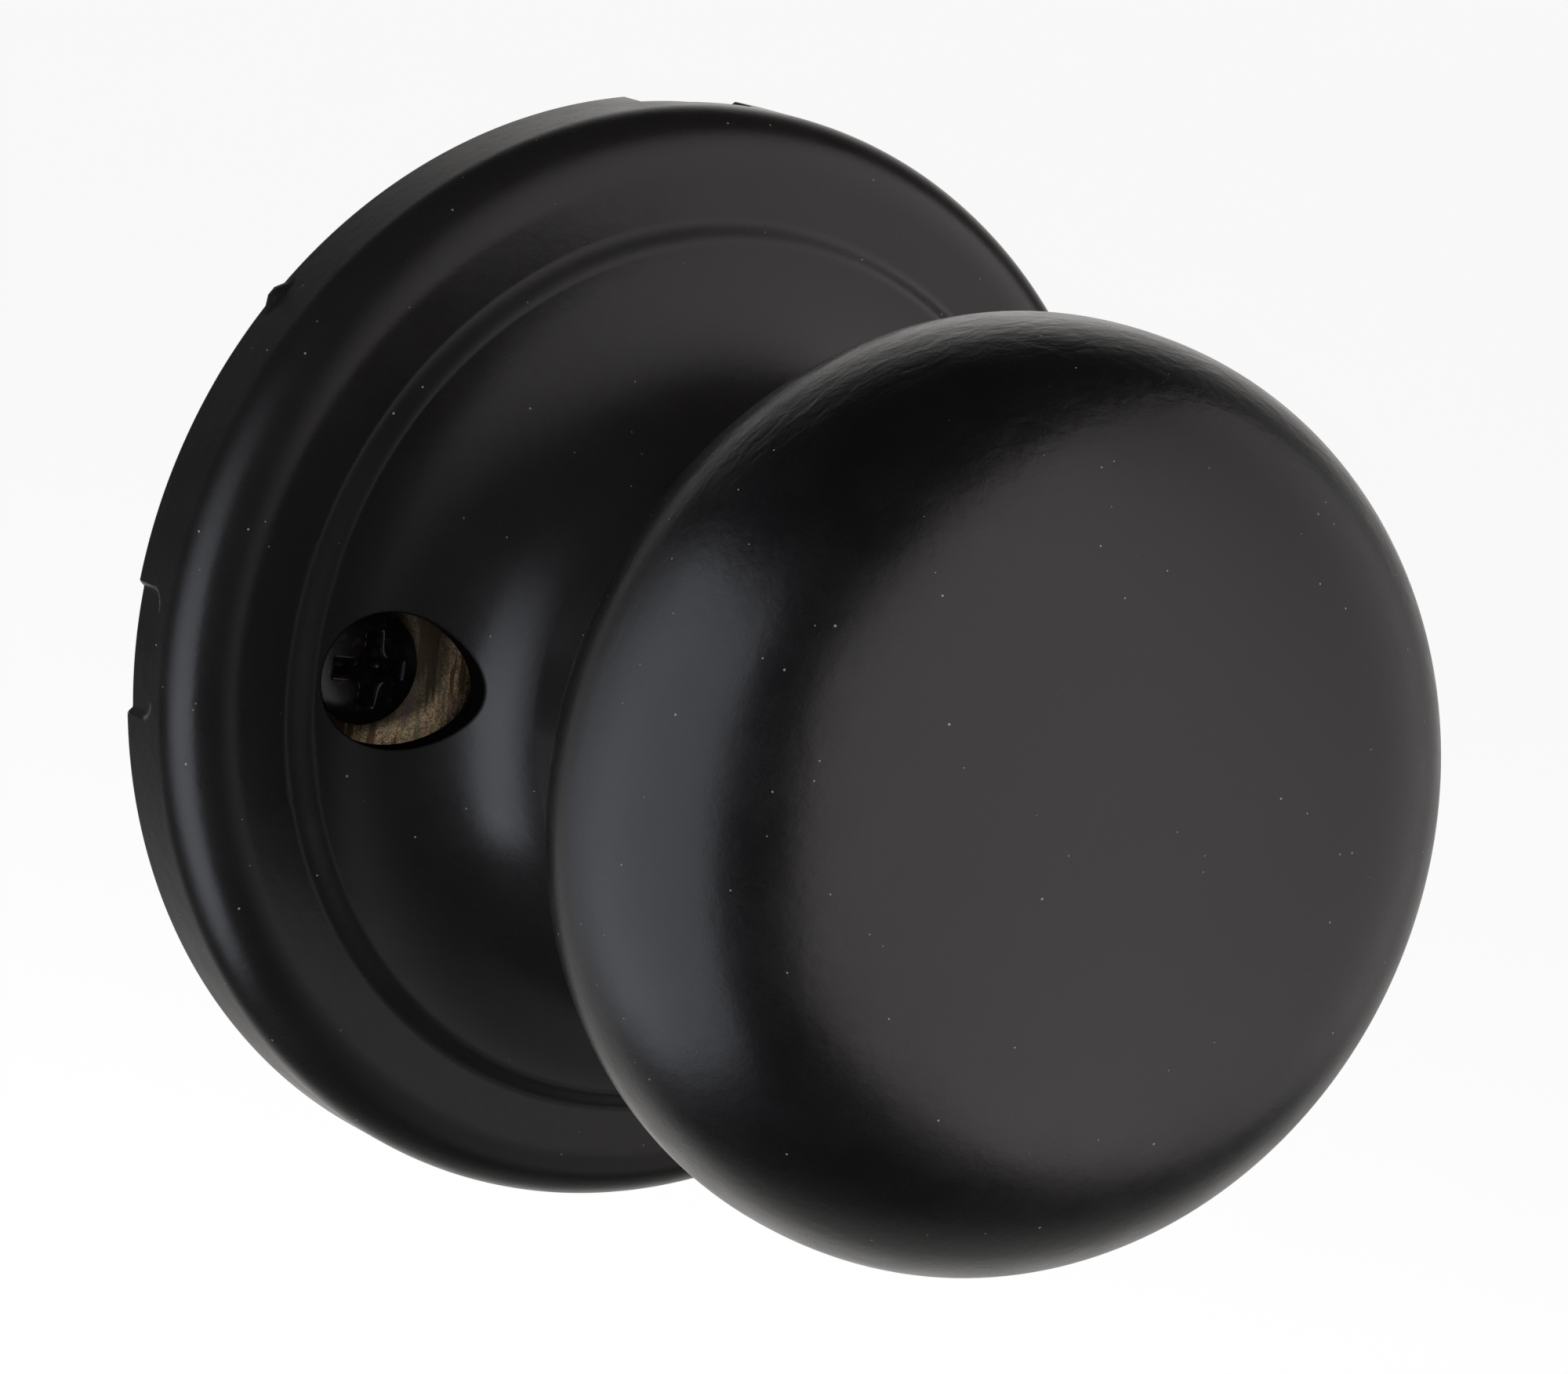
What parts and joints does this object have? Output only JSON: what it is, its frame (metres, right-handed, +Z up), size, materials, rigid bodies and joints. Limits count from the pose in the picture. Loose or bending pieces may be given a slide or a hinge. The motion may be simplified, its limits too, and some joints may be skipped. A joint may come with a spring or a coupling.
{
  "type": "door knob",
  "caption": "Round black passage door knob with a stepped, flared rose, sprung to return from a turn either way, fixed by screws through its rose.",
  "frame": {"origin": "centre of the rose's back edge, on the door's face, on the knob's axis", "axes": "the knob stands out along -Y and its face looks along -Y; +Z is up; +X is to the right for a person facing the knob; the screws lie on X"},
  "size_m": [0.0666, 0.0752, 0.0666],
  "materials": {
    "black_paint": "satin black powder paint on steel, fine orange peel",
    "black_knob_paint": "satin black powder paint on steel, wrinkled a little at the knob's shoulder",
    "yellow_zinc": "yellow chromate zinc plating with faint purple and green streaks",
    "black_screw": "black oxide, slightly glossy",
    "black_nylon": "moulded nylon",
    "white_nylon": "natural acetal, moulded",
    "bronze": "sintered bronze, matt and oiled",
    "zinc_steel": "bright zinc plating, faintly blue",
    "rivet_steel": "formed zinc-plated rivet heads",
    "spring_steel": "oiled spring steel, dark",
    "plain_steel": "stamped steel, satin",
    "die_cast_zinc": "die-cast zinc, dull grey with a fine cast skin"
  },
  "bodies": {
    "rose_side": {"rose": "black_paint", "mounting_plate": "yellow_zinc", "mounting_screws": "black_screw", "front_bushing": "black_nylon", "plate_bushing": "bronze", "thrust_washer": "white_nylon", "spring_cage": "zinc_steel", "cage_rivets": "rivet_steel", "rear_bushing": "white_nylon", "return_spring": "spring_steel"},
    "knob_side": {"knob_shell": "black_knob_paint", "knob_back": "black_knob_paint", "knob_stiffener": "zinc_steel", "knob_core": "die_cast_zinc", "core_pin": "spring_steel", "shank": "zinc_steel", "spindle_socket": "die_cast_zinc", "socket_pin": "spring_steel", "wave_washer": "spring_steel", "spring_driver": "plain_steel", "flat_washer": "zinc_steel", "retaining_ring": "spring_steel"}
  },
  "joints": [
    {"name": "knob_turn", "type": "hinge", "parent": "rose_side", "child": "knob_side", "pos_m": [0, 0, 0], "axis": [0, -1, 0], "range_deg": [-50, 50], "stiffness_Nm_per_rad": 0.2, "deforming": ["return_spring"]}
  ]
}
